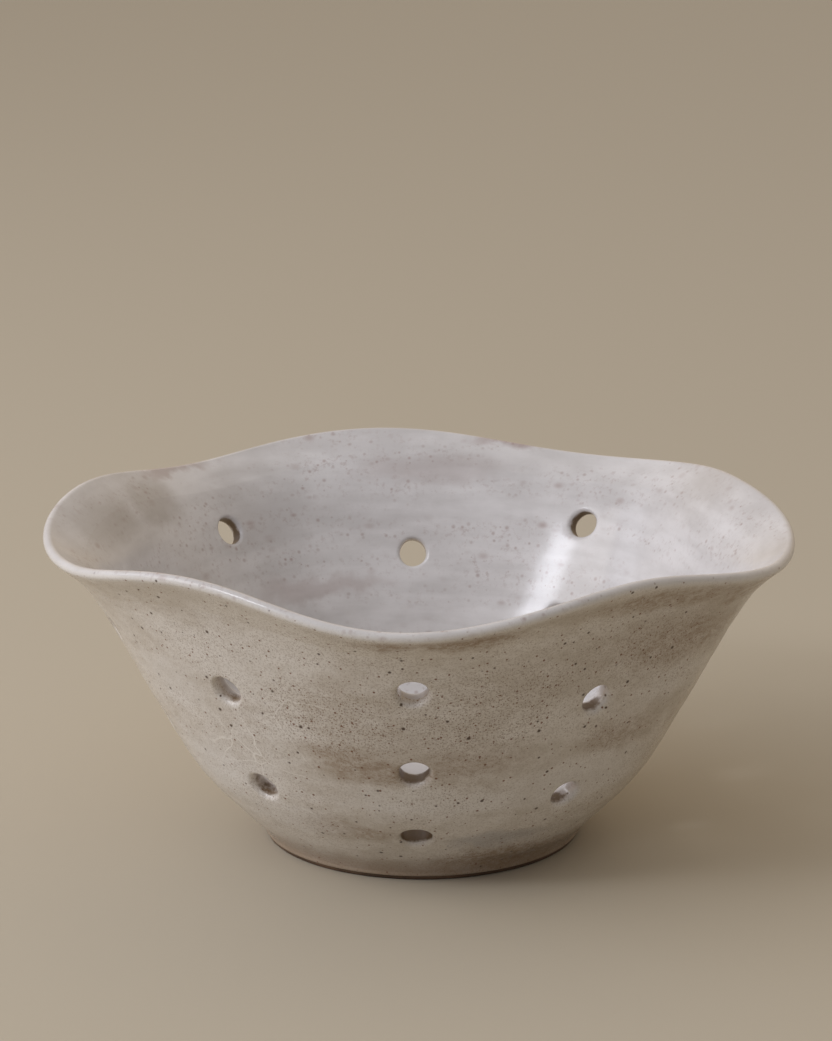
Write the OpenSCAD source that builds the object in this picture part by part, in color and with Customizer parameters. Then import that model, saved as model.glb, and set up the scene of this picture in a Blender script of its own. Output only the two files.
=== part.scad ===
// Berry colander bowl: a thrown stoneware bowl with a waved rim and drain holes, in millimetres.
// The origin is the centre of the foot's underside, +Z is up and -Y is the front.
// Azimuths are in degrees from +X towards +Y.

/* [Rim] */
// Mean radius of the rim, to the middle of its lip
rim_r = 87.2; // [70:0.1:110]
// Mean height of the rim above the table
rim_h = 78.6; // [65:0.1:110]
// Number of waves round the rim
lobes = 5; // [3:1:8]
// How far a wave swings the rim out and in
lobe_swing = 2; // [0:0.1:5]
// How far a wave lifts and drops the rim
lobe_lift = 2.7; // [0:0.1:6]
// Azimuth of the low middle of the front wave
lobe_az = -90; // [-180:1:180]
// How far round the outward swing lies from the low point
swing_turn = -5; // [-20:1:20]
// Angle between the wall and the vertical at the lip
lip_lean = 47; // [20:1:60]
// Thickness of the clay in the lip
lip_t = 1.7; // [1.2:0.1:3]

/* [Foot and floor] */
// Radius of the foot
foot_r = 39; // [34:0.5:50]
// Height of the foot ring
foot_h = 3; // [2:0.1:6]
// Width of the foot ring
foot_w = 7.5; // [5:0.5:10]
// Radius of the rounded edges of the foot ring
foot_round = 0.8; // [0.2:0.1:1.2]
// Thickness of the clay floor
floor_t = 4.6; // [4:0.1:8]
// Radius of the flat floor
floor_r = 25; // [23:0.5:28]

/* [Wall] */
// Thickness of the clay wall
wall_t = 3.6; // [3:0.1:5]
// Thickness of the glaze coat
glaze_t = 0.45; // [0.3:0.05:0.8]
// Height of the bare clay band at the bottom of the foot
bare_h = 1; // [0.5:0.1:1.8]

/* [Drain holes] */
// Diameter of a finished drain hole
hole_d = 7; // [5:0.1:9]
// Radius of the circle of drain holes in the floor
floor_hole_r = 15.5; // [14:0.1:17]

/* [Hidden] */

// Facets: steps round the bowl, between two points of the outline, round the lip, and round an edge
around = 70;
wall_steps = 2;
lip_steps = 8;
edge_steps = 5;
// Facets of the turned foot and of the holes
turned_fn = 120;
hole_fn = 48;
// How far every cut runs past what it cuts
overrun = 1;

// Outline of the outside between the foot and the lip. The first share is the radius, counted from
// the foot to the rim, and the second is the height, counted the same way
outline_shares = [
    [0.075, 0.044], [0.162, 0.100], [0.263, 0.168], [0.353, 0.241], [0.429, 0.324],
    [0.556, 0.480], [0.672, 0.636], [0.793, 0.792], [0.888, 0.890]
];
// Thickness of the clay at these points, as a share of the wall's: a thrown wall thickens downwards
// and thins out towards the lip
thickness_shares = [1.5, 1.3, 1.15, 1.05, 1, 1, 1, 1, 0.8];
// Thickness of the clay above the foot, where the wall turns into the floor, as a share of the wall's
corner_share = 1.9;
// How fast the waves die out from the rim down to the foot
wave_fade = 2.2;
// Unevenness of the hand-made rim: waves round the rim, share of the swing or lift, azimuth of a peak
swing_shares = [[1, 0.7, 118], [2, 0.36, -6], [3, 0.23, 19], [6, 0.58, -11], [10, 0.2, 5]];
lift_shares = [[1, 0.13, -96], [3, 0.15, -13], [4, 0.16, 37], [6, 0.21, -12]];

// Drain holes stand in columns, one under each low point and one under each high point of the rim.
// Their heights on the outside of the wall are shares of the rim's height
low_column_shares = [0.19, 0.452, 0.75];
high_column_shares = [0.32, 0.634];
// What each column was set off by hand: its turn in degrees, and its lift as a share of the height.
// The lists start at the front and run to the right, round the bowl
column_turns = [-1.6, -0.7, 3, 2, 1.35, 2, 6.5, 3, -4.15, -3.5];
column_lift_shares = [0, -0.008, 0, 0, 0.018, -0.006, 0.018, 0, -0.006, 0.006];

lip_r = lip_t / 2 + glaze_t;
lip_mid = [rim_r, rim_h - lip_r];
foot_clay_r = foot_r - glaze_t;
floor_top = foot_h + floor_t;
// A circle that just fits inside the flat-sided rings of the wall, as a share of their radius
inside_share = cos(180 / around);

// Directions out of the wall and up along it, for a wall that leans outwards by an angle
function out_of(lean) = [cos(lean), -sin(lean)];
function up_along(lean) = [sin(lean), cos(lean)];

// Points of the finished outside, from the top of the foot to where the lip starts to turn over
knots = concat(
    [[foot_r, foot_h]],
    [for (s = outline_shares) [foot_r + s[0] * (rim_r - foot_r), foot_h + s[1] * (rim_h - foot_h)]],
    [lip_mid + lip_r * out_of(lip_lean)]
);
last = len(knots) - 1;
// The wall and its coats end here, and the lip goes on
lip_start = last - 1;

// Lean of the wall at a point of the outline
function lean_at(i) = i == last ? lip_lean :
    let (d = knots[i + 1] - knots[max(i - 1, 0)]) atan2(d[0], d[1]);
function clay_at(i) = i == last ? lip_t : wall_t * (i == 0 ? corner_share : thickness_shares[i - 1]);
// How much of the rim's wave the wall follows at a point of the outline, from 0 to 1
function follow(i) = pow((knots[i][1] - foot_h) / (knots[last][1] - foot_h), wave_fade);
// Point of the outline, sunk by a depth below the finished outside, with how much it follows the wave
function sunk(i, depth) = let (p = knots[i] - depth * out_of(lean_at(i))) [p[0], p[1], follow(i)];

// The four surfaces of the wall, from outside to inside. The inside ones start on the flat floor
outer_coat = [for (i = [0 : last]) sunk(i, 0)];
outer_clay = concat([[foot_clay_r, foot_h, 0]], [for (i = [1 : last]) sunk(i, glaze_t)]);
inner_clay = concat(
    [[floor_r, floor_top, 0]],
    [for (i = [0 : last]) sunk(i, glaze_t + clay_at(i))]
);
inner_coat = concat(
    [[floor_r, floor_top + glaze_t, 0]],
    [for (i = [0 : last]) sunk(i, 2 * glaze_t + clay_at(i))]
);

// Point of a smooth curve through the points p, a share t of the way from point i to the next
function smooth(p, i, t) =
    let (a = p[max(i - 1, 0)], b = p[i], c = p[i + 1], d = p[min(i + 2, len(p) - 1)])
    (2 * b + (c - a) * t + (2 * a - 5 * b + 4 * c - d) * t * t
    + (3 * b - a - 3 * c + d) * t * t * t) / 2;
// Stretch of that curve between two of its points, upwards or downwards
function stretch(p, from, to) = concat(
    [for (i = [from : to - 1], k = [0 : wall_steps - 1]) smooth(p, i, k / wall_steps)],
    [p[to]]
);
function downwards(p) = [for (i = [len(p) - 1 : -1 : 0]) p[i]];

// How far the rim swings out and is lifted at an azimuth
function uneven(shares, az, i = 0) = i == len(shares) ? 0 :
    shares[i][1] * cos(shares[i][0] * (az - shares[i][2])) + uneven(shares, az, i + 1);
function swing(az) = lobe_swing
    * (cos(lobes * (az - lobe_az - swing_turn)) + uneven(swing_shares, az));
function lift(az) = lobe_lift * (uneven(lift_shares, az) - cos(lobes * (az - lobe_az)));
// Place in space of a point of a section, at an azimuth
function placed(p, az) = let (r = p[0] + p[2] * swing(az))
    [r * cos(az), r * sin(az), p[1] + p[2] * lift(az)];

// The two triangles of a four-sided patch, cut along its shorter diagonal
function halves(points, a, b, c, d) = norm(points[a] - points[c]) < norm(points[b] - points[d])
    ? [[a, b, c], [a, c, d]] : [[a, b, d], [b, c, d]];
// Patches between the sections, each a list of count points, from one of them on for some steps
function patches(points, count, steps) = [
    for (j = [0 : around - 1], i = [0 : steps - 1])
    let (here = j * count, next = (j + 1) % around * count, k = (i + 1) % count)
    each halves(points, here + i, here + k, next + k, next + i)
];
function all_round(section) = [
    for (j = [0 : around - 1], p = section) placed(p, 360 * j / around)
];

// Ring with the given section, listed with the outside of the bowl upwards
module waved_ring(section) {
    points = all_round(section);
    polyhedron(points, patches(points, len(section), len(section)), convexity = 10);
}

// Dish that is closed across the axis. Its section runs from the underside out and back over the top
module waved_dish(section) {
    count = len(section);
    ring = all_round(section);
    under = len(ring);
    points = concat(ring, [[0, 0, section[0][1]], [0, 0, section[count - 1][1]]]);
    faces = concat(
        patches(points, count, count - 1),
        [for (j = [0 : around - 1]) [under, j * count, (j + 1) % around * count]],
        [for (j = [0 : around - 1])
            [j * count + count - 1, under + 1, (j + 1) % around * count + count - 1]]
    );
    polyhedron(points, faces, convexity = 10);
}

// One drain hole through the wall, square to it, at an azimuth and a height on the outside
module wall_hole(d, az, height, i = 0) {
    if (knots[i + 1][1] < height) {
        wall_hole(d, az, height, i + 1);
    } else {
        t = (height - knots[i][1]) / (knots[i + 1][1] - knots[i][1]);
        lean = (1 - t) * lean_at(i) + t * lean_at(i + 1);
        reach = wall_t * corner_share + 2 * glaze_t + overrun;
        translate(placed(smooth(outer_coat, i, t), az))
        rotate([0, 90 + lean, az])
        cylinder(d = d, h = 2 * reach, center = true, $fn = hole_fn);
    }
}

// All the drain holes of the wall
module wall_holes(d) {
    for (i = [0 : 2 * lobes - 1]) {
        turn = column_turns[i % len(column_turns)];
        lift_share = column_lift_shares[i % len(column_lift_shares)];
        for (share = i % 2 == 0 ? low_column_shares : high_column_shares) {
            wall_hole(d, lobe_az + 180 * i / lobes + turn, rim_h * (share + lift_share));
        }
    }
}

// All the drain holes of the floor: one in the middle and one towards each low point of the rim
module floor_holes(d) {
    translate([0, 0, -overrun])
    cylinder(d = d, h = floor_top + glaze_t + 2 * overrun, $fn = hole_fn);
    for (i = [0 : lobes - 1]) {
        rotate(lobe_az + 360 * i / lobes)
        translate([floor_hole_r, 0, -overrun])
        cylinder(d = d, h = floor_top + glaze_t + 2 * overrun, $fn = hole_fn);
    }
}

// Quarter of a round edge about a middle, between two angles
function edge(middle, from, to) = [
    for (k = [0 : edge_steps]) let (a = from + (to - from) * k / edge_steps)
    middle + foot_round * [cos(a), sin(a)]
];

// Turned ring that the bowl stands on, of bare clay
module foot_ring() {
    outside = foot_clay_r * inside_share;
    inside = outside - foot_w;
    color("#8a6f58")
    rotate_extrude($fn = turned_fn)
    polygon(concat(
        edge([inside + foot_round, foot_round], 180, 270),
        edge([outside - foot_round, foot_round], 270, 360),
        [[outside, foot_h], [inside, foot_h]]
    ));
}

// Clay floor inside the foot, with its drain holes
module floor_disc() {
    color("#9a8068")
    difference() {
        translate([0, 0, foot_h])
        cylinder(r = floor_r * inside_share, h = floor_t, $fn = turned_fn);
        floor_holes(hole_d + 2 * glaze_t);
    }
}

// Clay wall from the foot up to the lip, bored before glazing, so its holes leave room for the coat
module wall() {
    color("#a58b72")
    difference() {
        waved_ring(concat(
            [[floor_r, foot_h, 0]],
            stretch(outer_clay, 0, lip_start),
            downwards(stretch(inner_clay, 0, lip_start + 1))
        ));
        wall_holes(hole_d + 2 * glaze_t);
    }
}

// Rounded lip with its glaze, which carries the waves of the rim
module rim_lip() {
    turn_over = [
        for (k = [1 : lip_steps - 1]) let (a = 180 * k / lip_steps,
            p = lip_mid + lip_r * (cos(a) * out_of(lip_lean) + sin(a) * up_along(lip_lean)))
        [p[0], p[1], 1]
    ];
    color("#d8d2ca")
    waved_ring(concat(
        stretch(outer_coat, lip_start, last),
        turn_over,
        downwards(stretch(inner_coat, lip_start + 1, last + 1)),
        [inner_clay[lip_start + 1], outer_clay[lip_start]]
    ));
}

// Speckled glaze coat over the outside, from just above the table to the lip
module glaze_outside() {
    color("#b3aba0")
    difference() {
        waved_ring(concat(
            [[foot_clay_r, bare_h, 0], [foot_r, bare_h, 0]],
            stretch(outer_coat, 0, lip_start),
            downwards(stretch(outer_clay, 0, lip_start))
        ));
        wall_holes(hole_d);
    }
}

// Milky white glaze coat over the floor and up the inside to the lip
module glaze_inside() {
    color("#e2dedb")
    difference() {
        waved_dish(concat(
            stretch(inner_clay, 0, lip_start + 1),
            downwards(stretch(inner_coat, 0, lip_start + 1))
        ));
        wall_holes(hole_d);
        floor_holes(hole_d);
    }
}

foot_ring();
floor_disc();
wall();
rim_lip();
glaze_outside();
glaze_inside();
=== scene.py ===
import math

import bmesh
import bpy
import numpy as np
from mathutils import Matrix, Vector


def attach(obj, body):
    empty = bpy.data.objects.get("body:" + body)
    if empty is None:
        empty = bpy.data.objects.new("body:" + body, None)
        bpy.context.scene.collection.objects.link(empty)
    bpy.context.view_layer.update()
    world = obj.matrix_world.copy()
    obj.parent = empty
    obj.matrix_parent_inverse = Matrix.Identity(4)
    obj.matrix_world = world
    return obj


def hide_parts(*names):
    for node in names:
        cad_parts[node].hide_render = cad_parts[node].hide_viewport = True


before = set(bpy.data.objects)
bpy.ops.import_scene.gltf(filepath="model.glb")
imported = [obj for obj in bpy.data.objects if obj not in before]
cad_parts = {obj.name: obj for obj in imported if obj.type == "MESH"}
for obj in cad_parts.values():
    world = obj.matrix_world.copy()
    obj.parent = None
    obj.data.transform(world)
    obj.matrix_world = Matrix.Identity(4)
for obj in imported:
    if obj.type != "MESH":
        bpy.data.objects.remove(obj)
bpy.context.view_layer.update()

MM = 0.001

# Measures of the pot, in millimetres and degrees, the same as its clay and coats are turned to
RIM_R, RIM_H, LIP_LEAN, LIP_T = 87.2, 78.6, 47, 1.7
LOBES, LOBE_SWING, LOBE_LIFT, LOBE_AZ, SWING_TURN, WAVE_FADE = 5, 2, 2.7, -90, -5, 2.2
FOOT_R, FOOT_H = 39, 3
FLOOR_T, FLOOR_R = 4.6, 25
WALL_T, GLAZE_T, BARE_H = 3.6, 0.45, 1
HOLE_D, FLOOR_HOLE_R = 7, 15.5
CORNER_SHARE = 1.9  # how many times as thick as the wall the clay is in the corner at the foot
# Outline from the foot to the lip: share of the radius, share of the height, share of the clay's
# thickness
OUTLINE = [
    (0.075, 0.044, 1.5), (0.162, 0.100, 1.3), (0.263, 0.168, 1.15), (0.353, 0.241, 1.05),
    (0.429, 0.324, 1), (0.556, 0.480, 1), (0.672, 0.636, 1), (0.793, 0.792, 1), (0.888, 0.890, 0.8),
]
# Waves that make the rim uneven: how many go round, how strong, azimuth of a peak
UNEVEN_SWING = [(1, 0.7, 118), (2, 0.36, -6), (3, 0.23, 19), (6, 0.58, -11), (10, 0.2, 5)]
UNEVEN_LIFT = [(1, 0.13, -96), (3, 0.15, -13), (4, 0.16, 37), (6, 0.21, -12)]
# Drain holes in a column under a low point of the rim and under a high one, as shares of the rim's
# height, then how far each column is turned off the even spacing, and how far it is lifted
LOW_COLUMN, HIGH_COLUMN = (0.19, 0.452, 0.75), (0.32, 0.634)
COLUMN_TURNS = (-1.6, -0.7, 3, 2, 1.35, 2, 6.5, 3, -4.15, -3.5)
COLUMN_LIFTS = (0, -0.008, 0, 0, 0.018, -0.006, 0.018, 0, -0.006, 0.006)

# Columns of facets round the wall, and round the floor, where the same width of facet needs fewer,
# and the radius at which the one gives way to the other
AROUND, FLOOR_AROUND, JOINT_R = 336, 112, 32
# The mesh closes on itself here, midway between two columns of holes
SEAM_AZ = -110.5
ROUND_OUT, ROUND_IN = 1.25, 1.0  # how far a hole's rounded edge reaches, outside and inside
# How many times as far out as that edge its rings of facets run into the grid, in wall and floor
WALL_SPREAD, FLOOR_SPREAD = 2.4, 1.7
# The round skin is drawn this much smaller, so that it stays within the flat-sided clay it covers
SNUG = 0.05
COAT_T = 0.4  # a little less than the glaze's thickness, so that the coats stay off the clay
WELD = 0.002  # points of the mesh that lie closer than this are one
SHARP = 60  # edges that turn further than this many degrees aren't smoothed over
CURVE_STEPS = 24  # steps of the outline's curve from one of its points to the next
WIPED_AND_SHADED_H = 10  # the coat is darkened up to this height: partly glaze wiped thin, partly painted shade near the table


def cosd(a):
    return np.cos(np.radians(a))


def sind(a):
    return np.sin(np.radians(a))


def ease(x, low, high):
    """0 below low, 1 above high and a smooth step between."""
    t = np.clip((x - low) / (high - low), 0, 1)
    return t * t * (3 - 2 * t)


# The section of the pot: one line from the bottom of the outside coat, over the lip, to the middle
def through(points, steps=CURVE_STEPS):
    """Smooth curve through the points."""
    p = np.array(points, float)
    a, b, c, d = p[np.r_[0, 0:len(p) - 2]], p[:-1], p[1:], p[np.r_[2:len(p), len(p) - 1]]
    t = (np.arange(steps) / steps)[None, :, None]
    a, b, c, d = (k[:, None, :] for k in (a, b, c, d))
    line = (2 * b + (c - a) * t + (2 * a - 5 * b + 4 * c - d) * t ** 2
            + (3 * b - a - 3 * c + d) * t ** 3) / 2
    return np.vstack([line.reshape(-1, p.shape[1]), p[-1:]])


def pot_section():
    """Radius, height and share of the rim's wave along the section, where the coats meet, and the
    heights and leans of the points that the outside's curve goes through."""
    lip_r = LIP_T / 2 + GLAZE_T
    lip_out = np.array([cosd(LIP_LEAN), -sind(LIP_LEAN)])
    lip_up = np.array([sind(LIP_LEAN), cosd(LIP_LEAN)])
    lip_mid = np.array([RIM_R - SNUG, RIM_H - lip_r])
    knots = np.array(
        [(FOOT_R, FOOT_H)]
        + [(FOOT_R + s * (RIM_R - FOOT_R), FOOT_H + h * (RIM_H - FOOT_H)) for s, h, _ in OUTLINE]
        + [tuple(lip_mid + lip_r * lip_out)])
    rises = np.vstack([knots[1:2] - knots[0:1], knots[2:] - knots[:-2]])
    leans = np.append(np.degrees(np.arctan2(rises[:, 0], rises[:, 1])), LIP_LEAN)
    out = np.column_stack([cosd(leans), -sind(leans)])
    clay = np.append(WALL_T * np.array([CORNER_SHARE] + [t for *_, t in OUTLINE]), LIP_T)
    follow = ((knots[:, 1] - FOOT_H) / (knots[-1, 1] - FOOT_H)) ** WAVE_FADE
    inside = knots - out * (clay + 2 * GLAZE_T)[:, None]
    outer = through(np.column_stack([knots, follow]))
    inner = through(np.vstack([(FLOOR_R, FOOT_H + FLOOR_T + GLAZE_T, 0),
                               np.column_stack([inside, follow])]))[::-1]
    turn = np.radians(np.arange(6, 180, 6))[:, None]
    over = lip_mid + lip_r * (np.cos(turn) * lip_out + np.sin(turn) * lip_up)
    # The coat stops in a rounded edge a little above the table, and the floor is flat to the middle
    roll = np.radians([0, 30, 60])
    edge = [(FOOT_R - GLAZE_T * (1 - math.sin(a)), BARE_H + GLAZE_T * (1 - math.cos(a)), 0)
            for a in roll]
    start = [*edge, (FOOT_R, BARE_H + GLAZE_T, 0)]
    side = [(FOOT_R, z, 0) for z in np.linspace(BARE_H + GLAZE_T, FOOT_H, 9)[1:-1]]
    floor = [(r, FOOT_H + FLOOR_T + GLAZE_T, 0) for r in np.linspace(FLOOR_R, 0, 60)[1:]]
    over = np.column_stack([over, np.ones(len(over))])
    line = np.vstack([start, side, outer, over, inner, floor])
    marks = [len(start) + len(side) + len(outer) - CURVE_STEPS - 1,
             len(line) - len(floor) - len(inner) + CURVE_STEPS]
    return line, marks, knots[:, 1], leans


def evenly(line, marks, step=0.1):
    """The line again in even steps, its creases at the foot and the floor's edge eased."""
    gone = np.append(0, np.cumsum(np.hypot(*np.diff(line[:, :2], axis=0).T)))
    at = np.arange(0, gone[-1], step)
    even = np.column_stack([np.interp(at, gone, line[:, k]) for k in range(3)])
    wide = 60  # steps to each side that the easing draws on
    # Radius and height of a crease, how softly it is eased, and how far before it and after it
    for r, z, softness, before, after in ((FOOT_R, FOOT_H, 1.7, 2.3, 7),
                                          (FLOOR_R, FOOT_H + FLOOR_T, 0.8, 6, 6)):
        bell = np.exp(-0.5 * (np.arange(-wide, wide + 1) * step / softness) ** 2)
        padded = np.pad(even, ((wide, wide), (0, 0)), mode="edge")
        soft = np.column_stack([np.convolve(padded[:, k], bell / bell.sum(), mode="valid")
                                for k in range(3)])
        past = at - at[np.argmin(np.hypot(even[:, 0] - r, even[:, 1] - z))]
        share = 1 - np.where(past < 0, ease(-past, before / 4, before),
                             ease(past, after / 4, after))
        even = even + share[:, None] * (soft - even)
    return at, even, [gone[m] for m in marks]


SECTION, SEAMS, KNOT_HEIGHTS, KNOT_LEANS = pot_section()
AT, LINE, (LIP_FROM, LIP_TO) = evenly(SECTION, SEAMS)
SLOPE = np.gradient(LINE[:, :2], AT, axis=0)
SLOPE /= np.hypot(SLOPE[:, 0], SLOPE[:, 1])[:, None]
CREST = AT[np.argmax(LINE[:, 1])]


def uneven(waves, az):
    """The longer and shorter waves that are added to the rim's five."""
    return sum(share * cosd(n * (az - peak)) for n, share, peak in waves)


def relief(az, d):
    """Height in mm of the ridges that the thrower's fingers left, on slower swells of the wall.
    They die out at the lip and at the foot."""
    apart = 5.5  # mm from one ridge to the next of the spiral
    inside = ease(d, CREST - 2, CREST + 2)
    away = ease(np.abs(d - CREST), 3, 12) * ease(d, 1.5, 6)
    spiral = 2 * math.pi * (d + apart * az / 360)
    rings = (0.03 - 0.018 * inside) * np.sin(spiral / apart + 0.6 * np.sin(d / 9))
    lumps = 0.09 * np.sin(d / 12 + 1.3) * cosd(3 * az + 20) + 0.05 * cosd(7 * az + 9 * d / 4)
    return away * (rings + lumps)


def pot(az, d):
    """Place in mm of the skin's point at an azimuth and a distance along the section."""
    az, d = np.broadcast_arrays(np.asarray(az, float), np.asarray(d, float))
    r, z, wave = (np.interp(d, AT, LINE[:, k]) for k in range(3))
    raised = relief(az, d)
    swing = LOBE_SWING * (cosd(LOBES * (az - LOBE_AZ - SWING_TURN)) + uneven(UNEVEN_SWING, az))
    lift = LOBE_LIFT * (uneven(UNEVEN_LIFT, az) - cosd(LOBES * (az - LOBE_AZ)))
    r = r + wave * swing + raised * np.interp(d, AT, SLOPE[:, 1])
    z = z + wave * lift - raised * np.interp(d, AT, SLOPE[:, 0])
    return np.stack([r * cosd(az), r * sind(az), z], axis=-1)


# Drain holes
class Hole:
    """A drain hole: its middle on a skin, and the directions across, along and out of it."""

    def __init__(self, az, middle, lean, number):
        self.az, self.middle, self.number = az, np.array(middle), number
        self.across = np.array([-sind(az), cosd(az), 0])
        self.along = np.array([sind(lean) * cosd(az), sind(lean) * sind(az), cosd(lean)])
        self.out = np.cross(self.across, self.along)
        self.half_way = 0.0

    def local(self, place):
        away = place - self.middle
        return away @ self.across, away @ self.along, away @ self.out

    def angle(self, place):
        x, y, _ = self.local(place)
        return np.arctan2(y, x)

    def throat(self, angle):
        """Radius of the bore: cut by hand, so a little out of round."""
        return (HOLE_D / 2 + 0.1 * np.cos(2 * (angle - self.number))
                + 0.05 * np.cos(3 * (angle + 2 * self.number)) + 0.03 * np.cos(5 * angle))

    def settle(self, x, y, az, d):
        """Azimuth and distance along the section of the skin's point at x, y across the hole,
        found from a place near it by Newton's steps."""
        for _ in range(10):
            place = pot(az, d)
            here_x, here_y, _ = self.local(place)
            round_, down = np.interp(d, AT, SLOPE[:, 0]), np.interp(d, AT, SLOPE[:, 1])
            turn = np.stack([-sind(az), cosd(az), 0 * az], axis=-1)
            rise = np.stack([round_ * cosd(az), round_ * sind(az), down], axis=-1)
            a, b = turn @ self.across, rise @ self.across
            c, e = turn @ self.along, rise @ self.along
            off_x, off_y, det = x - here_x, y - here_y, a * e - b * c
            from_axis = np.hypot(place[..., 0], place[..., 1])
            az = az + np.degrees((e * off_x - b * off_y) / det / from_axis)
            d = d + (a * off_y - c * off_x) / det
        return az, d

    def nearest(self, distances):
        """The one of the distances along the section whose point lies nearest the hole."""
        away = np.linalg.norm(pot(self.az, distances) - self.middle, axis=-1)
        return float(distances[np.argmin(away)])


def wall_holes():
    """The drain holes of the wall, bored square to it. A height counts along the straight lines
    between the curve's points, as it does for the solids' holes."""
    outer = AT < LIP_FROM
    curve = through(KNOT_HEIGHTS[:, None])[:, 0]
    steps = np.linspace(0, len(KNOT_HEIGHTS) - 1, len(curve))
    holes = []
    for i in range(2 * LOBES):
        az = LOBE_AZ + 180 * i / LOBES + COLUMN_TURNS[i]
        for share in HIGH_COLUMN if i % 2 else LOW_COLUMN:
            height = RIM_H * (share + COLUMN_LIFTS[i])
            step = np.interp(height, KNOT_HEIGHTS, range(len(KNOT_HEIGHTS)))
            d = float(np.interp(np.interp(step, steps, curve), LINE[outer, 1], AT[outer]))
            lean = float(np.interp(height, KNOT_HEIGHTS, KNOT_LEANS))
            hole = Hole(az, pot(az, d), lean, len(holes))
            inner = hole.settle(0, 0, az, hole.nearest(AT[AT > CREST]))
            hole.half_way = hole.local(pot(*inner))[2] / 2
            holes.append(hole)
    return holes


def floor_holes():
    """The floor's drain holes: one in the middle, and one towards each low point of the rim."""
    top = FOOT_H + FLOOR_T + GLAZE_T
    turns = [LOBE_AZ + 360 * i / LOBES for i in range(LOBES)]
    holes = [Hole(az, (FLOOR_HOLE_R * cosd(az), FLOOR_HOLE_R * sind(az), top), -90, 40 + i)
             for i, az in enumerate(turns)]
    holes.append(Hole(LOBE_AZ, (0, 0, top), -90, 45))
    for hole in holes:
        hole.half_way = SNUG - FLOOR_T - GLAZE_T
    return holes


# Skins: a grid of facets laid on the pot, opened and rounded over at each drain hole
def rows_between(start, end, around):
    """Distances along the section for rows of nearly square facets, closer where the line turns."""
    most_turn = 0.16  # radians from one facet to the next
    d = np.linspace(start, end, 4000)
    turn = np.abs(np.gradient(np.unwrap(np.arctan2(SLOPE[:, 1], SLOPE[:, 0])), AT))
    turn = np.interp(d, AT, np.convolve(turn, np.ones(15) / 15, mode="same"))
    square = 2 * math.pi * np.interp(d, AT, LINE[:, 0]) / around
    spacing = np.minimum(square, most_turn / np.maximum(turn, 1e-6))
    count = np.append(0, np.cumsum(2 * np.diff(d) / (spacing[1:] + spacing[:-1])))
    return np.interp(np.linspace(0, count[-1], max(2, round(count[-1])) + 1), count, d)


class Skin:
    """Grid of facets between two distances along the section, with its holes laid in. A point's
    level is 1 on the edge of a hole, less towards its middle, and far more away from holes."""

    EDGE, AWAY = 0.999, 9.0

    def __init__(self, start, end, around, seam=0):
        self.first = SEAM_AZ + 360 * seam / around
        turns = self.first + 360 * np.arange(around + 1) / around
        self.az, self.d = np.meshgrid(turns, rows_between(start, end, around))
        self.level = np.full(self.az.shape, self.AWAY)
        self.holes = []

    def lay(self, hole, reach, sense, spread):
        """Draws the rows and columns round a hole into rings. The block inside is cut out later."""
        az0, d0 = hole.settle(0, 0, hole.az, hole.nearest(self.d[:, 0]))
        j0 = int(np.argmin(np.abs(self.az[0] - self.first - (az0 - self.first) % 360)))
        i0 = int(np.argmin(np.abs(self.d[:, 0] - d0)))
        x, y, _ = hole.local(pot(self.az, self.d))
        cell = 0.5 * (abs(x[i0, j0 + 1] - x[i0, j0]) + abs(y[i0 + 1, j0] - y[i0, j0]))
        edge = HOLE_D / 2 + reach
        half = max(2, round(edge * math.sqrt(math.pi) / 2 / cell))
        size = math.ceil(half * spread)
        window = slice(max(0, i0 - size), i0 + size + 1), slice(j0 - size, j0 + size + 1)
        ii, jj = np.mgrid[:self.az.shape[0], :self.az.shape[1]]
        ii, jj = ii[window], jj[window]
        a, b = (jj - j0).astype(float), sense * (ii - i0).astype(float)
        level = np.maximum(abs(a), abs(b)) / half
        # A square of facets turned into a circle of facets, its points evenly round it
        near = (level > self.EDGE) & (level < spread)
        eighth = math.pi / 4
        angle = np.zeros(a.shape)
        wide, high = near & (abs(a) >= abs(b)), near & (abs(a) < abs(b))
        angle[wide] = eighth * b[wide] / a[wide] + np.where(a[wide] > 0, 0, 4 * eighth)
        angle[high] = np.where(b[high] > 0, 2, 6) * eighth - eighth * a[high] / b[high]
        ring = edge + (level - 1) * half * cell
        share = 1 - ease(level, 1, spread)
        tx = share * ring * np.cos(angle) + (1 - share) * x[window]
        ty = share * ring * np.sin(angle) + (1 - share) * y[window]
        az, d = self.az[window], self.d[window]
        az[near], d[near] = hole.settle(tx[near], ty[near], az[near], d[near])
        self.level[window] = np.minimum(self.level[window], level)
        self.holes.append((hole, reach, sense))

    def put(self, bm):
        """Makes the grid in the mesh, cuts the holes' blocks out and rounds their edges over."""
        thin, inner = bm.verts.layers.float["thin"], bm.verts.layers.float["inner"]
        made = bmesh.ops.create_grid(bm, x_segments=self.az.shape[1] - 1,
                                     y_segments=self.az.shape[0] - 1, size=1)["verts"]
        places = pot(self.az, self.d)
        thinned = 0.5 * np.exp(-((self.d - CREST) / 1.0) ** 2)
        inside = ease(self.d, CREST - 4.5, CREST - 0.5)
        for v, place, t, i in zip(made, places.reshape(-1, 3), thinned.ravel(), inside.ravel()):
            v.co = place * MM
            v[thin], v[inner] = t, i
        blocks = [v for v, level in zip(made, self.level.ravel()) if level < self.EDGE]
        bmesh.ops.delete(bm, geom=blocks, context="VERTS")
        if self.holes:
            cut = [e for loop in openings(bm, self.holes) for e in loop]
            bmesh.ops.subdivide_edges(bm, edges=cut, cuts=1)
            round_over(bm, self.holes)


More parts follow.
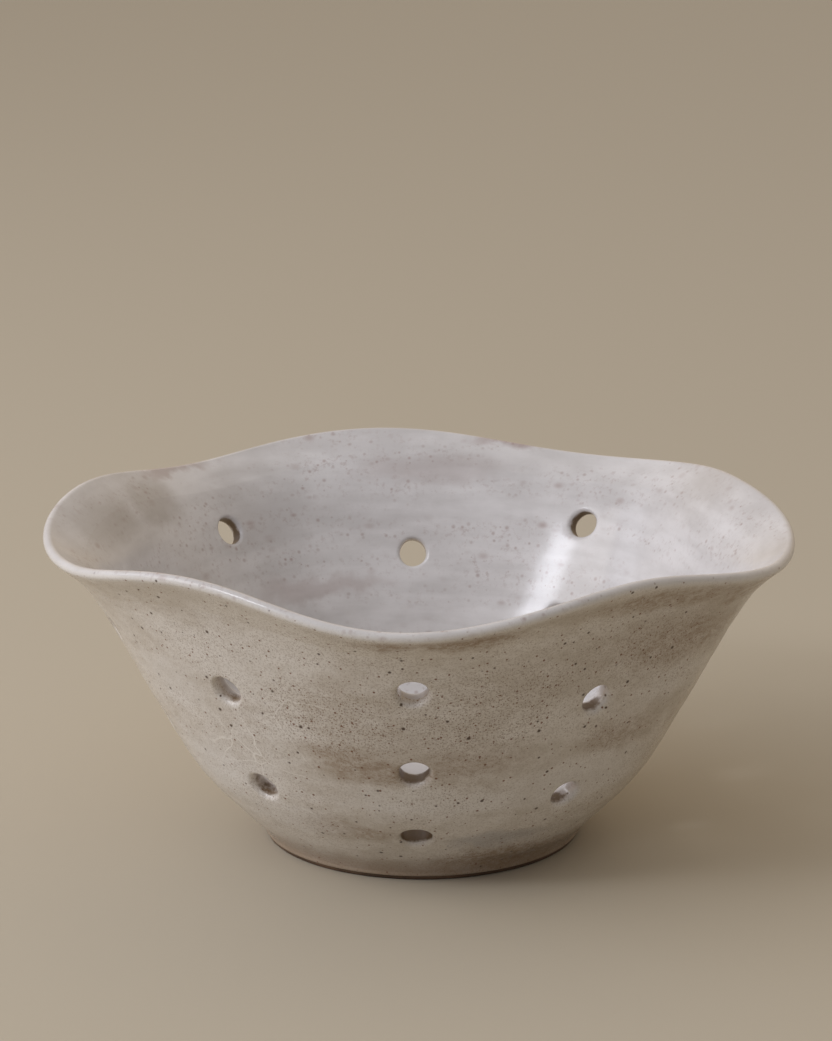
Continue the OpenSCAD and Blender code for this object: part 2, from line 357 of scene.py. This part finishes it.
def openings(bm, holes):
    """For each hole, the edges of the opening that is cut in the skin for it."""
    slack, depth = 0.6, 7  # mm that they may lie outside the edge, and above or below the skin
    free = [e for e in bm.edges if e.is_boundary]
    middles = np.array([e.verts[0].co + e.verts[1].co for e in free]) / 2 / MM
    loops = []
    for hole, reach, _ in holes:
        x, y, out = hole.local(middles)
        near = (np.hypot(x, y) < HOLE_D / 2 + reach + slack) & (abs(out) < depth)
        loops.append([free[k] for k in np.flatnonzero(near)])
    return loops


def edge_profile(hole, reach, sense, start, steps=6):
    """Places of a hole's rings, from the skin round into the bore, and how thin the coat is."""
    ahead = 0.4  # mm outwards to where the skin's slope is read
    deep = 1.1  # depth of the rounding, as a share of its width
    edge = HOLE_D / 2 + reach
    angle = hole.angle(start)
    az = np.degrees(np.arctan2(start[:, 1], start[:, 0]))
    side = AT[AT < CREST] if sense > 0 and hole.out[2] < 0.5 else AT[AT > CREST]
    away = np.linalg.norm(pot(az[:, None], side) - start[:, None], axis=-1)
    d = side[np.argmin(away, axis=1)]

    def height(radius):
        x, y = radius * np.cos(angle), radius * np.sin(angle)
        return hole.local(pot(*hole.settle(x, y, az, d)))[2]

    skin = height(edge)
    throat = hole.throat(angle)
    corner = skin - (height(edge + ahead) - skin) / ahead * (edge - throat)
    end = corner - sense * deep * (edge - throat)
    rings = [(edge + 0 * throat, skin, 0.0)]
    # A quarter of an ellipse from the edge to the end, round the corner
    for t in np.arange(1, steps + 1) / steps:
        w = np.array([(1 - t) ** 2, math.sqrt(2) * t * (1 - t), t ** 2])
        w = w / w.sum()
        radius = w[0] * edge + (w[1] + w[2]) * throat
        depth = w[0] * skin + w[1] * corner + w[2] * end
        rings.append((radius, depth, 0.75 * ease(t, 0.35, 1)))
    rings.append((throat, (end + hole.half_way) / 2, 1.0))
    rings.append((throat, 0 * throat + hole.half_way, 1.0))
    return [(hole.middle + np.outer(radius * np.cos(angle), hole.across)
             + np.outer(radius * np.sin(angle), hole.along) + np.outer(depth, hole.out), thinness)
            for radius, depth, thinness in rings]


def round_over(bm, holes):
    """Takes the holes' edges round into the bores, and down to where the coats meet."""
    thin = bm.verts.layers.float["thin"]
    loops = openings(bm, holes)
    rims = [list({v for e in loop for v in e.verts}) for loop in loops]
    profiles = [edge_profile(*hole, np.array([v.co for v in rim]) / MM)
                for hole, rim in zip(holes, rims)]
    edges = [e for loop in loops for e in loop]
    for k in range(len(profiles[0])):
        if k:
            grown = bmesh.ops.extrude_edge_only(bm, edges=edges)["geom"]
            edges = [g for g in grown if isinstance(g, bmesh.types.BMEdge)]
            fresh = {v.co.copy().freeze(): v for v in grown if isinstance(v, bmesh.types.BMVert)}
            rims = [[fresh[v.co.copy().freeze()] for v in rim] for rim in rims]
        for rim, profile in zip(rims, profiles):
            places, thinness = profile[k]
            for v, place in zip(rim, places):
                v.co = place * MM
                v[thin] = thinness


def new_mesh():
    """An empty mesh that knows how thin the coat is at a point, and how far inside it lies."""
    bm = bmesh.new()
    bm.verts.layers.float.new("thin")
    bm.verts.layers.float.new("inner")
    return bm


def placed(name, data):
    """An object in the scene for a mesh, a light or a camera."""
    made = bpy.data.objects.new(name, data)
    bpy.context.scene.collection.objects.link(made)
    return made


def finish_piece(bm, name, node, material, outwards, shell=None):
    """Closes the seam, points the facets out of the glaze, away from the bowl's axis or towards it,
    and makes the object that stands for a node."""
    bmesh.ops.remove_doubles(bm, verts=bm.verts, dist=WELD * MM)
    bmesh.ops.recalc_face_normals(bm, faces=bm.faces)
    facing = sum(f.normal.xy.dot(f.calc_center_median().xy) * f.calc_area() for f in bm.faces)
    if (facing > 0) != outwards:
        bmesh.ops.reverse_faces(bm, faces=bm.faces)
    for f in bm.faces:
        f.smooth = True
    for e in bm.edges:
        e.smooth = not e.is_boundary and e.calc_face_angle(0) < math.radians(SHARP)
    mesh = bpy.data.meshes.new(name)
    bm.to_mesh(mesh)
    bm.free()
    mesh.materials.append(material)
    piece = placed(name, mesh)
    if shell:
        coat = piece.modifiers.new("coat", "SOLIDIFY")
        coat.thickness, coat.offset = shell * MM, -1
    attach(piece, "root")
    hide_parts(node)


# Materials
def linear(colour):
    """A colour written as sRGB hex, as the linear colour that a shader takes."""
    parts = [int(colour[k:k + 2], 16) / 255 for k in (1, 3, 5)]
    return tuple(c / 12.92 if c <= 0.04045 else ((c + 0.055) / 1.055) ** 2.4 for c in parts) + (1,)


def add(tree, kind, inputs=None, **settings):
    """Adds a node with its settings, and puts values or other nodes' outputs in its inputs."""
    made = tree.nodes.new("ShaderNode" + kind)
    for key, value in settings.items():
        setattr(made, key, value)
    for key, value in (inputs or {}).items():
        if isinstance(value, bpy.types.NodeSocket):
            tree.links.new(value, made.inputs[key])
        else:
            made.inputs[key].default_value = value
    return made


def per_mm(size):
    """Scale of a pattern in metres whose features are this many millimetres apart."""
    return 1000 / size


def blended(tree, share, under, over):
    """One colour over another by a share. Each is a node's output or sRGB hex."""
    given = [linear(c) if isinstance(c, str) else c for c in (under, over)]
    return add(tree, "Mix", {0: share, 6: given[0], 7: given[1]}, data_type="RGBA").outputs[2]


def stepped(tree, value, low, high, to=1.0, smooth=True):
    """Share that goes from 0 at low to a top value at high."""
    return add(tree, "MapRange", {"Value": value, "From Min": low, "From Max": high, "To Max": to},
               interpolation_type="SMOOTHSTEP" if smooth else "LINEAR").outputs[0]


def worked(tree, how, *values):
    """One step of arithmetic on numbers or nodes' outputs."""
    return add(tree, "Math", dict(enumerate(values)), operation=how).outputs[0]


def clouds(tree, place, size, detail=4, rough=0.55, warp=0.0):
    """Soft mottling whose patches are about so many millimetres across."""
    return add(tree, "TexNoise", {"Vector": place, "Scale": per_mm(size), "Detail": detail,
                                  "Roughness": rough, "Distortion": warp}).outputs["Fac"]


def specks(tree, place, apart, radius, share, soft=0.35):
    """Grains of iron that burnt through the glaze: how far apart, how big, and how many there are.
    They fill the clay, and the surface cuts through only some, so they are set closer than they
    show."""
    cell = add(tree, "TexVoronoi", {"Vector": place, "Scale": per_mm(apart)})
    pick = add(tree, "SeparateColor", {0: cell.outputs["Color"]})
    least, extra = 0.4 * radius / apart, 0.6 * radius / apart
    grown = worked(tree, "MULTIPLY_ADD", pick.outputs[1], extra, least)
    away = worked(tree, "DIVIDE", cell.outputs["Distance"], grown)
    near = stepped(tree, away, 1 + soft, 1 - soft)
    return worked(tree, "MULTIPLY", near, worked(tree, "LESS_THAN", pick.outputs[0], share))


def shaken(tree, place, size, reach):
    """Place moved about at random, by up to so many millimetres, to tear a pattern's edges."""
    wander = add(tree, "TexNoise", {"Vector": place, "Scale": per_mm(size), "Detail": 5.0})
    about = add(tree, "VectorMath", {0: wander.outputs["Color"], 1: (0.5, 0.5, 0.5)},
                operation="SUBTRACT").outputs[0]
    return add(tree, "VectorMath", {0: about, 1: (reach * MM,) * 3, 2: place},
               operation="MULTIPLY_ADD").outputs[0]


def laid_on(tree, place, patches):
    """Soft patches on the glaze: azimuth, radius and height of the middle, how far each
    reaches round the pot and up it, in mm, and how strong it is."""
    total = 0.0
    for az, r, z, wide, high, strength in patches:
        patch = add(tree, "Mapping", {"Vector": place, "Rotation": (0, 0, math.radians(az)),
                                      "Location": (r * cosd(az) * MM, r * sind(az) * MM, z * MM),
                                      "Scale": (PATCH_DEPTH * MM, wide * MM, high * MM)},
                    vector_type="TEXTURE")
        ball = add(tree, "TexGradient", {"Vector": patch.outputs[0]}, gradient_type="SPHERICAL")
        share = stepped(tree, ball.outputs["Fac"], 0.0, 0.7, strength)
        total = worked(tree, "MAXIMUM", total, share)
    return total


def new_material(name):
    """A material, its tree of nodes and its shader."""
    material = bpy.data.materials.new(name)
    material.use_nodes = True
    return material, material.node_tree, material.node_tree.nodes["Principled BSDF"]


def glaze(name, inner, marks):
    """Oatmeal glaze, dipped over speckled buff stoneware and fired to a satin gloss. It is milky
    where it lies thick, runs brown where it is thin, and leaves bare clay in patches inside the
    holes. Iron from the clay bleeds up through it in brown specks. Some of its patches are
    painted shade, under the rim and near the table, and some are painted light, low on the outside."""
    material, tree, shader = new_material(name)
    place = add(tree, "TexCoord").outputs["Object"]
    # The wheel drew most patterns out round the pot, and the bands far more
    flat = add(tree, "Mapping", {"Vector": place, "Scale": (1, 1, 1.7)}).outputs[0]
    banded = add(tree, "Mapping", {"Vector": place, "Scale": (0.15, 0.15, 1)}).outputs[0]
    thin = add(tree, "Attribute", attribute_name="thin").outputs["Fac"]
    within = inner(tree)
    outside = worked(tree, "SUBTRACT", 1.0, within)
    # Stains are ragged, but what is worn in the holes is kept where it is put
    torn = shaken(tree, place, 9, 9)
    mark = {tone: laid_on(tree, place if tone == "worn" else torn, patches)
            for tone, patches in marks.items()}

    def tinted(colour, share, tone):
        return blended(tree, share, colour, TONES[tone])

    def on(side, share):
        return worked(tree, "MULTIPLY", share, side)

    # The body of the glaze: clouds of thick and thin, and faint bands that the fingers left
    drift = clouds(tree, flat, 30, detail=3, warp=0.3)
    mottle = clouds(tree, flat, 6, detail=6, rough=0.7)
    bands = clouds(tree, banded, 4, detail=3)
    body = worked(tree, "MULTIPLY_ADD", drift, 0.45, worked(tree, "MULTIPLY_ADD", mottle, 0.4,
                  worked(tree, "MULTIPLY", bands, 0.15)))
    streaks = worked(tree, "MULTIPLY_ADD", drift, 0.5, worked(tree, "MULTIPLY_ADD", bands, 0.35,
                     worked(tree, "MULTIPLY", mottle, 0.15)))
    out_colour = blended(tree, stepped(tree, body, 0.38, 0.62), TONES["thin"], TONES["thick"])
    in_colour = blended(tree, stepped(tree, streaks, 0.36, 0.64), TONES["inner_thin"],
                        TONES["inner_thick"])
    colour = blended(tree, within, out_colour, in_colour)

    # Stains, ragged and finely broken, those just under the rim painted shade, and a band darker
    # towards the foot, partly glaze wiped thin and partly painted shade near the table
    ragged = stepped(tree, clouds(tree, flat, 2.5, detail=6, rough=0.75), 0.34, 0.62, 0.8)
    ragged = worked(tree, "ADD", ragged, 0.4)
    smoky = stepped(tree, clouds(tree, flat, 16, detail=6, rough=0.65, warp=0.5), 0.54, 0.8, 0.25)
    height = add(tree, "SeparateXYZ", {0: place}).outputs[2]
    # Darker towards the foot: partly glaze wiped thin, partly painted shade near the table
    low = stepped(tree, height, WIPED_AND_SHADED_H * MM, 0.5 * MM, 0.75)
    colour = tinted(colour, on(outside, low), "stain_and_painted_shade")
    # Stain patches, those just under the rim painted shade
    stain_and_painted_shade = worked(tree, "MAXIMUM", smoky, mark.get("stain_and_painted_shade", 0.0))
    colour = tinted(colour, on(outside, worked(tree, "MULTIPLY", stain_and_painted_shade, ragged)), "stain_and_painted_shade")
    # Patches on the glaze; the low milky ones are also painted light
    for tone, side in (("milk_and_painted_light", outside), ("smoke", outside),
                       ("translucent", within), ("sunk", within)):
        if tone in mark:
            colour = tinted(colour, on(side, mark[tone]), tone)
    # Over the lip, where the two coats meet, it rolls thick
    roll = worked(tree, "MULTIPLY", worked(tree, "MULTIPLY", within, outside), 3.0)
    colour = tinted(colour, roll, "milk_and_painted_light")

    # Brown mottle and grain of iron, crowded in some places, then the specks that burnt through.
    # The real grain is about 0.1 mm, too fine to show, so it is drawn 0.4 mm across
    crowd = worked(tree, "MAXIMUM", stepped(tree, clouds(tree, flat, 30, detail=3), 0.4, 0.7, 0.25),
                   mark.get("crowded", 0.0))
    crowd = on(outside, worked(tree, "ADD", crowd, 0.24))
    peppered = stepped(tree, clouds(tree, place, 0.5, detail=2, rough=0.8), 0.46, 0.7, 0.8)
    grain = worked(tree, "MAXIMUM", peppered, specks(tree, place, 0.5, 0.19, 0.6))
    colour = tinted(colour, worked(tree, "MULTIPLY", grain, crowd), "speck")
    spread = worked(tree, "MINIMUM", worked(tree, "MULTIPLY", outside, 3.0), 1.0)
    many = worked(tree, "MULTIPLY_ADD", crowd, 0.8, 0.2)
    rust = on(spread, specks(tree, place, 1.4, 0.32, many, soft=0.25))
    colour = tinted(colour, worked(tree, "MULTIPLY", rust, 0.9), "rust")
    few = worked(tree, "MULTIPLY_ADD", crowd, 0.34, 0.24)
    iron = on(spread, specks(tree, place, 2.6, 0.46, few))
    colour = tinted(colour, worked(tree, "MULTIPLY", iron, 0.92), "iron")
    # Inside, they lie deep in the milky coat, in drifts, and blur
    drifts = stepped(tree, clouds(tree, banded, 6, detail=4), 0.34, 0.66, 0.6)
    blurred = worked(tree, "MAXIMUM", specks(tree, flat, 5.0, 1.3, 0.4, soft=0.9),
                     specks(tree, place, 2.0, 0.5, 0.5, soft=0.7))
    haze = stepped(tree, clouds(tree, place, 1.5, detail=3, rough=0.7), 0.5, 0.75, 0.7)
    blurred = worked(tree, "MAXIMUM", blurred, haze)
    colour = tinted(colour, on(within, worked(tree, "MULTIPLY", blurred, drifts)), "sunk")

    # A few hairline cracks
    if "crazed" in mark:
        cells = {"Vector": shaken(tree, place, 30, 14), "Scale": per_mm(15)}
        cracks = add(tree, "TexVoronoi", cells, feature="DISTANCE_TO_EDGE").outputs["Distance"]
        hairline = stepped(tree, cracks, 0.012, 0.004)
        colour = tinted(colour, worked(tree, "MULTIPLY", hairline, mark["crazed"]), "hairline")

    # The thin coat in the holes is dull, and toasted clay shows through it where it is worn
    colour = tinted(colour, worked(tree, "MULTIPLY", stepped(tree, thin, 0.4, 1.0), 0.4), "stain_and_painted_shade")
    worn = worked(tree, "MULTIPLY", mark["worn"], thin)
    broken = worked(tree, "MULTIPLY_ADD", clouds(tree, place, 2.5, detail=5, rough=0.7), 1.0, worn)
    bare = stepped(tree, broken, 0.75, 1.1, 0.88)
    colour = tinted(colour, bare, "clay")

    # Satin gloss with a faint orange peel, duller and a little sunk at the specks
    rough = worked(tree, "MULTIPLY_ADD", mottle, 0.08, 0.14)
    spots = worked(tree, "MAXIMUM", rust, iron)
    rough = worked(tree, "MULTIPLY_ADD", worked(tree, "MAXIMUM", spots, bare), 0.25, rough)
    peel = clouds(tree, place, 3.2, detail=3)
    raised = worked(tree, "MULTIPLY_ADD", spots, -0.25, peel)
    bump = add(tree, "Bump", {"Height": raised, "Strength": 0.1, "Distance": 0.3 * MM})
    for key, value in {"Base Color": colour, "Roughness": rough, "Normal": bump.outputs[0]}.items():
        tree.links.new(value, shader.inputs[key])
    shader.inputs["IOR"].default_value = 1.5
    return material


def bare_clay_and_contact_shade():
    """Speckled buff stoneware, turned on the wheel and fired unglazed: matt, toasted brown and
    gritty, with rings that the turning tool left. Its browns are darker than the clay's own,
    painted shade for the dark line where the foot meets the table."""
    material, tree, shader = new_material("unglazed_stoneware_and_contact_shade")
    place = add(tree, "TexCoord").outputs["Object"]
    toast = clouds(tree, place, 18, detail=4)
    # Real grit is 0.2 to 0.5 mm, too fine to show, and is drawn 0.7 mm across
    grit = clouds(tree, place, 0.7, detail=3, rough=0.7)
    # A wave repeats at pi / 10 of the size that its scale gives, so these rings are 8.8 mm apart
    rings = add(tree, "TexWave", {"Vector": place, "Scale": per_mm(28), "Distortion": 0.6,
                                  "Detail": 2.0}, wave_type="RINGS", rings_direction="Z")
    # These browns are darkened beyond the clay's own: painted shade along the foot's contact line
    colour = blended(tree, stepped(tree, toast, 0.35, 0.65), "#4a3828", "#68503c")
    colour = blended(tree, stepped(tree, grit, 0.5, 0.3, 0.4), colour, "#3a2b20")
    colour = blended(tree, specks(tree, place, 1.8, 0.25, 0.4), colour, "#2b211b")
    height = worked(tree, "MULTIPLY_ADD", rings.outputs["Fac"], 0.6, grit)
    bump = add(tree, "Bump", {"Height": height, "Strength": 0.35, "Distance": 0.15 * MM})
    for key, value in {"Base Color": colour, "Normal": bump.outputs[0]}.items():
        tree.links.new(value, shader.inputs[key])
    shader.inputs["Roughness"].default_value = 0.8
    shader.inputs["IOR"].default_value = 1.45
    return material


# The stain tone also paints shade, and the milk tone also paints light, in some of the patches
# below
TONES = {
    "thick": "#dfdad3", "thin": "#c9c1b6", "inner_thick": "#dedbda", "inner_thin": "#c6c2c0",
    "stain_and_painted_shade": "#8d7355", "milk_and_painted_light": "#e3e0dc", "smoke": "#a3a2a4", "translucent": "#988e82",
    "speck": "#6f4a22", "rust": "#6b3d16", "iron": "#402710", "sunk": "#9a7f77", "clay": "#5c421e",
    "hairline": "#ebe7e1",
}
PATCH_DEPTH = 12  # how far a patch reaches through the wall, in mm
# Patches as laid_on takes them. The first ones are where the coat in the holes is worn
HOLE_WEAR = [
    (-92, 60.5, 32.5, 12, 8, 0.7), (-92, 49.5, 14.5, 12, 10, 0.8), (-128, 56.5, 24.5, 10, 7, 0.5),
    (-128, 69, 50.5, 8, 6, 0.45), (-56.5, 67.5, 48.5, 9, 7, 0.65), (-56.5, 56.5, 22.8, 7, 5, 0.6),
    (132.5, 76, 60, 10, 10, 0.7), (55.4, 76, 60, 10, 10, 0.7),
]
OUTER_MARKS = {
    # Brown stains in the glaze. The three just under the rim, 71.5 to 75 mm up, are painted shade
    # under the outward flare, and the one 6 mm up darkens the front right of the foot
    "stain_and_painted_shade": [(-38, 76.5, 61, 38, 11, 0.42), (-46, 81.5, 75, 36, 5, 0.5),
              (-26, 86, 71.5, 32, 5, 0.5), (-87, 86.5, 72.5, 34, 4, 0.65),
              (-98, 64, 35, 24, 5, 0.5), (-80, 65, 37.5, 20, 5, 0.4),
              (-107, 66, 39.5, 14, 3.5, 0.4), (-110, 52, 16.5, 20, 4, 0.45),
              (-44, 64.5, 38.5, 18, 6, 0.4), (-60, 41, 6, 28, 7, 0.6)],
    # Milky patches of thick glaze. The four low on the body, 17 to 28 mm up, are also painted
    # light: they lighten the lower wall where light bounced up from the table falls
    "milk_and_painted_light": [(-147, 60, 27, 28, 14, 0.65), (-146, 70.5, 50, 16, 9, 0.4),
             (-85, 59.5, 26, 34, 6, 0.45), (-31, 71, 49, 22, 7, 0.5),
             (-125, 52, 17, 20, 6, 0.45), (-50, 59, 28, 30, 11, 0.6)],
    "smoke": [(-68, 49.5, 13, 18, 4, 0.5)],
    "crowded": [(-106, 70, 48, 30, 20, 0.5), (-80, 72, 50, 46, 24, 0.4),
                (-46, 76, 60, 34, 18, 0.3)],
    "crazed": [(-128, 64, 34, 24, 14, 0.75), (-112, 70, 46, 16, 12, 0.65)],
    "worn": HOLE_WEAR,
}
INNER_MARKS = {
    "translucent": [(168, 80, 74, 20, 12, 0.4), (149, 79, 73, 14, 9, 0.5)],
    "sunk": [(114, 65, 45, 28, 3.5, 0.3), (88, 75, 72, 26, 5, 0.2), (70, 86, 79, 26, 2.5, 0.6),
             (138, 88, 77, 18, 2.5, 0.5)],
    "worn": HOLE_WEAR,
}
OUTSIDE_GLAZE = glaze("oatmeal_glaze_outside", lambda tree: 0.0, OUTER_MARKS)
INSIDE_GLAZE = glaze("oatmeal_glaze_inside", lambda tree: 1.0, INNER_MARKS)
LIP_GLAZE = glaze("oatmeal_glaze_over_the_lip",
                  lambda tree: add(tree, "Attribute", attribute_name="inner").outputs["Fac"],
                  INNER_MARKS | OUTER_MARKS)
CLAY_AND_CONTACT_SHADE = bare_clay_and_contact_shade()

# Pieces
WALL_HOLES, FLOOR_HOLES = wall_holes(), floor_holes()


def outside_coat():
    bm = new_mesh()
    skin = Skin(0, LIP_FROM, AROUND)
    for hole in WALL_HOLES:
        skin.lay(hole, ROUND_OUT, 1, WALL_SPREAD)
    skin.put(bm)
    finish_piece(bm, "speckled_outside_coat", "glaze_outside",
                 OUTSIDE_GLAZE, True, COAT_T)


def inside_coat():
    bm = new_mesh()
    to_joint, to_middle = (float(np.interp(-radius, -LINE[AT > CREST, 0], AT[AT > CREST]))
                           for radius in (JOINT_R, HOLE_D / 2 + ROUND_IN))
    wall = Skin(LIP_TO, to_joint, AROUND)
    for hole in WALL_HOLES:
        wall.lay(hole, ROUND_IN, -1, WALL_SPREAD)
    wall.put(bm)
    floor = Skin(to_joint, to_middle, FLOOR_AROUND, seam=18)
    for hole in FLOOR_HOLES[:-1]:
        floor.lay(hole, ROUND_IN, 1, FLOOR_SPREAD)
    floor.put(bm)
    # Three facets of the wall meet each facet of the floor
    joint = [e for e in bm.edges if e.is_boundary
             and all(abs(v.co.xy.length / MM - JOINT_R) < 0.2 for v in e.verts)
             and e.calc_length() > 1.3 * MM]
    cut = bmesh.ops.subdivide_edges(bm, edges=joint, cuts=AROUND // FLOOR_AROUND - 1)["geom_inner"]
    for v in cut:
        if isinstance(v, bmesh.types.BMVert):
            column = round((math.degrees(math.atan2(v.co.y, v.co.x)) - SEAM_AZ) * AROUND / 360)
            v.co = pot(SEAM_AZ + 360 * column / AROUND, to_joint) * MM
    bmesh.ops.remove_doubles(bm, verts=bm.verts, dist=WELD * MM)
    round_over(bm, [(FLOOR_HOLES[-1], ROUND_IN, 1)])
    finish_piece(bm, "milky_inside_coat", "glaze_inside",
                 INSIDE_GLAZE, False, COAT_T)


def lip():
    bm = new_mesh()
    Skin(LIP_FROM, LIP_TO, AROUND).put(bm)
    bmesh.ops.remove_doubles(bm, verts=bm.verts, dist=WELD * MM)
    bmesh.ops.bridge_loops(bm, edges=[e for e in bm.edges if e.is_boundary])
    finish_piece(bm, "rolled_rim_lip", "rim_lip", LIP_GLAZE, True)


outside_coat()
inside_coat()
lip()
for node in ("foot_ring", "floor_disc", "wall"):
    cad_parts[node].data.materials.clear()
    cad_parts[node].data.materials.append(CLAY_AND_CONTACT_SHADE)


# Floor, light and camera
def plain(name, colour, roughness):
    """A material of one even colour."""
    material, _, shader = new_material(name)
    shader.inputs["Base Color"].default_value = linear(colour)
    shader.inputs["Roughness"].default_value = roughness
    return material


def studio_floor():
    """Matt paper that fills the camera's view."""
    bm = bmesh.new()
    bmesh.ops.create_grid(bm, x_segments=1, y_segments=1, size=4)
    mesh = bpy.data.meshes.new("studio_floor")
    bm.to_mesh(mesh)
    bm.free()
    mesh.materials.append(plain("matt_pale_paper", "#beb4a1", 0.85))
    floor = placed("studio_floor", mesh)


def soft_box(name, az, elevation, distance, width, height, power, colour):
    """A soft light that faces the bowl from an azimuth and an elevation in degrees. Its distance
    and size are in metres and its power in watts."""
    light = bpy.data.lights.new(name, "AREA")
    light.shape, light.size, light.size_y = "RECTANGLE", width, height
    light.energy, light.color = power, linear(colour)[:3]
    lamp = placed(name, light)
    away = Vector((cosd(elevation) * cosd(az), cosd(elevation) * sind(az), sind(elevation)))
    lamp.location = Vector((0, 0, 0.04)) + distance * away
    lamp.rotation_euler = away.to_track_quat("Z", "Y").to_euler()


def studio_light():
    """A window to the left, bright walls beyond it, and a room lit cool from that side, warm from
    behind, and from overhead."""
    soft_box("window", -144.5, 36, 1.4, 0.29, 0.26, 3.1, "#f2f5ff")
    soft_box("bright_wall", -167, 28, 1.5, 0.8, 1.0, 7.2, "#fbf8f8")
    soft_box("far_wall", 162, 26, 1.5, 0.5, 0.8, 1.9, "#f0f3ff")
    world = bpy.data.worlds.new("room")
    world.use_nodes = True
    tree = world.node_tree
    tree.nodes.clear()
    ways = add(tree, "SeparateXYZ", {0: add(tree, "TexCoord").outputs["Generated"]}).outputs
    lit = None
    # Direction that each part of the room lies in, its colour and its strength
    for (x, y, z), colour, strength in (((0, 0, 1), "#fffbf8", 0.5), ((0.4, 1, 0), "#ffe1b6", 0.5),
                                        ((-1, -0.4, 0), "#e8edff", 0.42)):
        along = worked(tree, "MULTIPLY_ADD", ways[0], x, worked(tree, "MULTIPLY_ADD", ways[1], y,
                       worked(tree, "MULTIPLY", ways[2], z)))
        along = stepped(tree, along, -0.1, 1.0, strength, smooth=False)
        part = add(tree, "Background", {"Color": linear(colour), "Strength": along}).outputs[0]
        lit = part if lit is None else add(tree, "AddShader", {0: lit, 1: part}).outputs[0]
    add(tree, "OutputWorld", {"Surface": lit})
    bpy.context.scene.world = world
    bpy.context.scene.view_settings.view_transform = "Standard"


def camera():
    """The photograph's view: a long lens, a little above the bowl."""
    focal, tall = 3500, 1041  # focal length and height of the frame, in the photograph's pixels
    pitch, yaw, roll = (math.radians(a) for a in (14.73, -0.097, -0.142))
    ahead = Vector((math.sin(yaw) * math.cos(pitch), math.cos(yaw) * math.cos(pitch),
                    -math.sin(pitch)))
    right = ahead.cross(Vector((0, 0, 1))).normalized()
    up = right.cross(ahead)
    turned = math.cos(roll) * right + math.sin(roll) * up
    upright = math.cos(roll) * up - math.sin(roll) * right
    lens = bpy.data.cameras.new("camera")
    lens.sensor_width, lens.lens = 36, focal * 36 / tall
    seen = placed("camera", lens)
    seen.matrix_world = Matrix.Translation((0, -0.818, 0.293)) @ Matrix(
        (turned, upright, -ahead)).transposed().to_4x4()
    bpy.context.scene.camera = seen


studio_floor()
studio_light()
camera()
